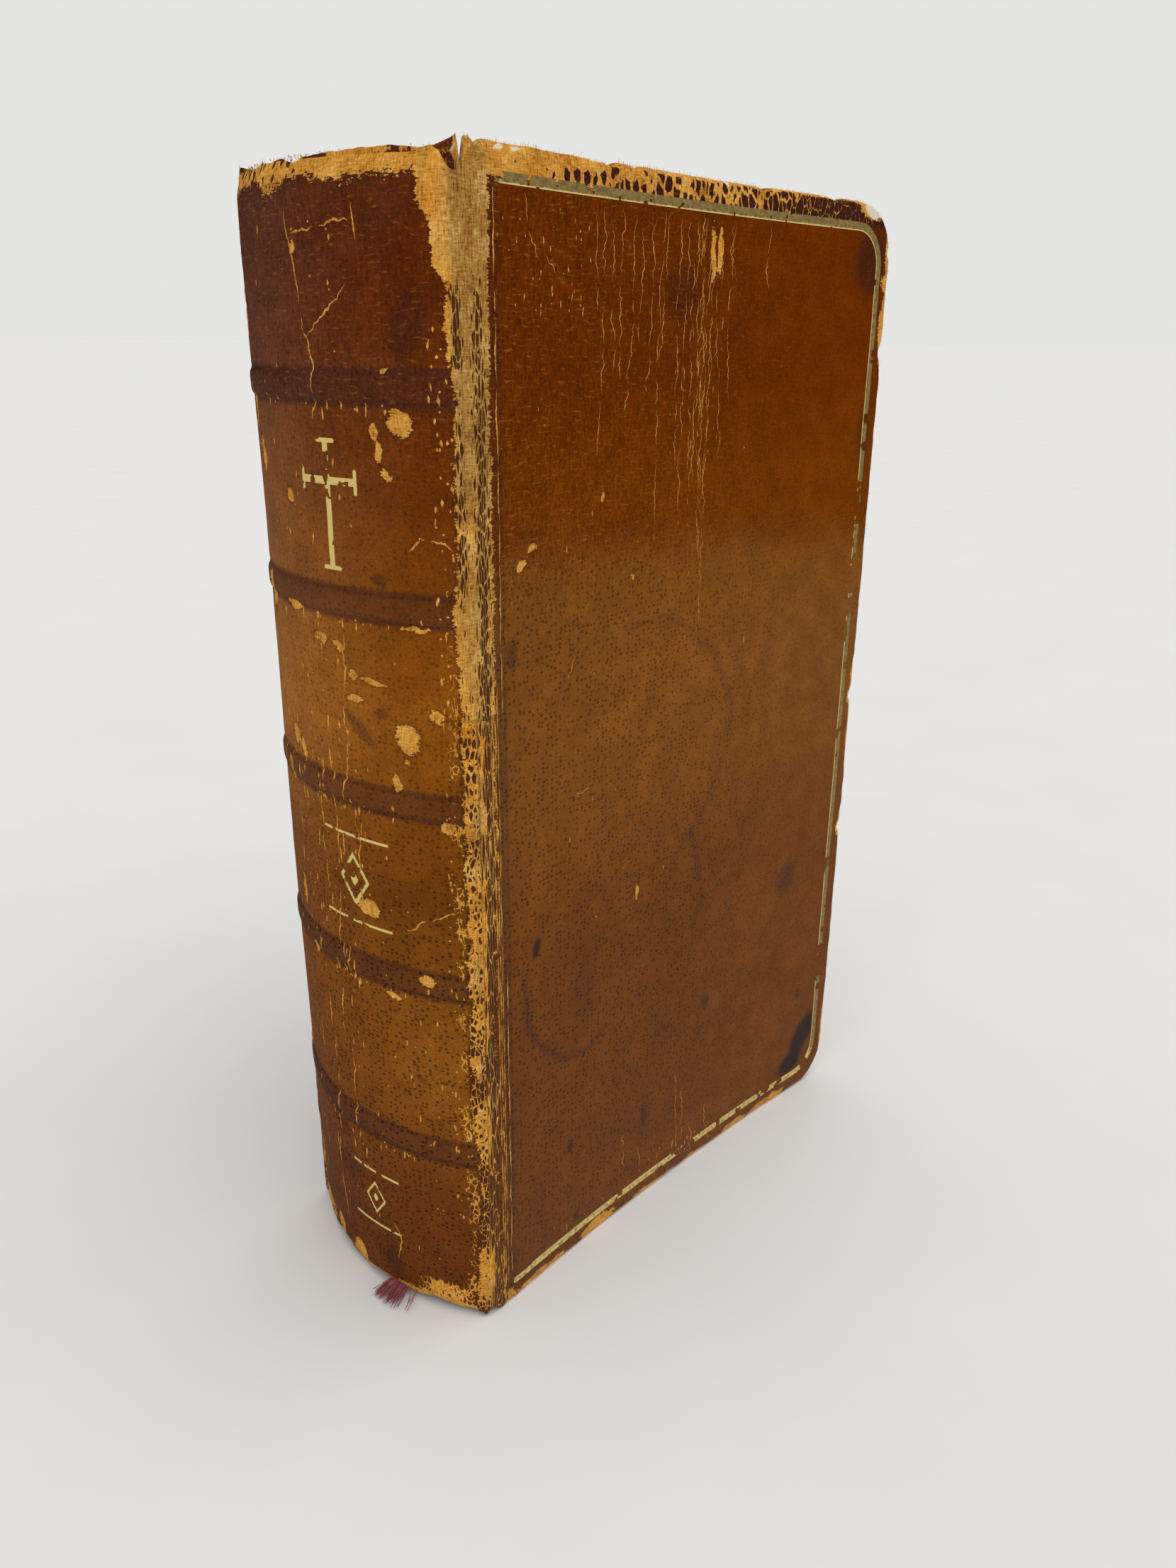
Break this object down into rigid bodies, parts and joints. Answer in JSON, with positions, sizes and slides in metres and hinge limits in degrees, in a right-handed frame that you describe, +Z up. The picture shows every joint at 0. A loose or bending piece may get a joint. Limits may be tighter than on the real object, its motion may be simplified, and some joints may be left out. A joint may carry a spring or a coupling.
{
  "type": "prayer book",
  "caption": "Leather-bound hand prayer book with rounded spine, raised bands, gilt-framed covers, sewn leaves and ribbon marker.",
  "frame": {"origin": "middle of the footprint, on the surface that the closed book's tail edges stand on", "axes": "+Z up the height from tail to head, -X the spine, +X the fore-edge, -Y the front cover, +Y the back cover"},
  "size_m": [0.1032, 0.045, 0.168],
  "materials": {
    "leaf_paper": "matte",
    "endpaper": "matte",
    "lining_paper": "matte",
    "board": "matte",
    "band_card": "matte",
    "leather": "satin",
    "gilt": "satin",
    "mull": "matte",
    "linen_tape": "matte",
    "linen_thread": "matte",
    "endband_silk": "satin",
    "ribbon_silk": "satin"
  },
  "bodies": {
    "back_leaves": {"gathering_10": "leaf_paper", "gathering_11": "leaf_paper", "gathering_12": "leaf_paper", "gathering_13": "leaf_paper", "gathering_14": "leaf_paper", "gathering_15": "leaf_paper", "gathering_16": "leaf_paper", "gathering_17": "leaf_paper", "gathering_18": "leaf_paper", "gathering_19": "leaf_paper", "gathering_20": "leaf_paper", "gathering_21": "leaf_paper", "gathering_22": "leaf_paper", "gathering_23": "leaf_paper", "gathering_24": "leaf_paper", "spine_leather": "leather", "spine_hollow": "lining_paper", "spine_mull": "mull", "raised_band_1": "band_card", "raised_band_2": "band_card", "raised_band_3": "band_card", "raised_band_4": "band_card", "raised_band_5": "band_card", "head_band": "endband_silk", "tail_band": "endband_silk", "sewing_tapes": "linen_tape", "sewing_thread": "linen_thread"},
    "front_leaves": {"gathering_01": "leaf_paper", "gathering_02": "leaf_paper", "gathering_03": "leaf_paper", "gathering_04": "leaf_paper", "gathering_05": "leaf_paper", "gathering_06": "leaf_paper", "gathering_07": "leaf_paper", "gathering_08": "leaf_paper", "gathering_09": "leaf_paper"},
    "front_cover": {"front_board": "board", "front_cover_leather": "leather", "front_pastedown": "endpaper", "front_gilt_frame": "gilt", "front_joint_leather": "leather"},
    "back_cover": {"back_board": "board", "back_cover_leather": "leather", "back_pastedown": "endpaper", "back_gilt_frame": "gilt", "back_joint_leather": "leather"},
    "front_endpaper": {"front_flyleaf": "endpaper"},
    "back_endpaper": {"back_flyleaf": "endpaper"},
    "ribbon": {"ribbon_marker": "ribbon_silk"}
  },
  "joints": [
    {"name": "page_opening", "type": "hinge", "parent": "back_leaves", "child": "front_leaves", "pos_m": [-0.0496, -0.00506, 0.084], "axis": [0, 0, -1], "range_deg": [0, 80], "deforming": ["spine_leather", "spine_hollow", "spine_mull", "raised_band_1", "raised_band_2", "raised_band_3", "raised_band_4", "raised_band_5", "head_band", "tail_band", "sewing_tapes", "sewing_thread"]},
    {"name": "front_cover_hinge", "type": "hinge", "parent": "front_leaves", "child": "front_cover", "pos_m": [-0.0423, -0.0225, 0.084], "axis": [0, 0, -1], "range_deg": [0, 180], "deforming": ["front_joint_leather"]},
    {"name": "back_cover_hinge", "type": "hinge", "parent": "back_leaves", "child": "back_cover", "pos_m": [-0.0423, 0.0225, 0.084], "axis": [0, 0, 1], "range_deg": [0, 100], "deforming": ["back_joint_leather"]},
    {"name": "front_flyleaf_turn", "type": "hinge", "parent": "front_leaves", "child": "front_endpaper", "pos_m": [-0.0416, -0.01996, 0.084], "axis": [0, 0, -1], "range_deg": [0, 100]},
    {"name": "back_flyleaf_turn", "type": "hinge", "parent": "back_leaves", "child": "back_endpaper", "pos_m": [-0.0416, 0.01988, 0.084], "axis": [0, 0, 1], "range_deg": [0, 56]},
    {"name": "ribbon_swing", "type": "hinge", "parent": "back_leaves", "child": "ribbon", "pos_m": [-0.041, -0.00506, 0.163], "axis": [0, -1, 0], "range_deg": [0, 25]}
  ],
  "couplings": [
    {"joint": "front_flyleaf_turn", "follows": "front_cover_hinge", "ratio": 0.55},
    {"joint": "back_flyleaf_turn", "follows": "back_cover_hinge", "ratio": 0.55}
  ]
}
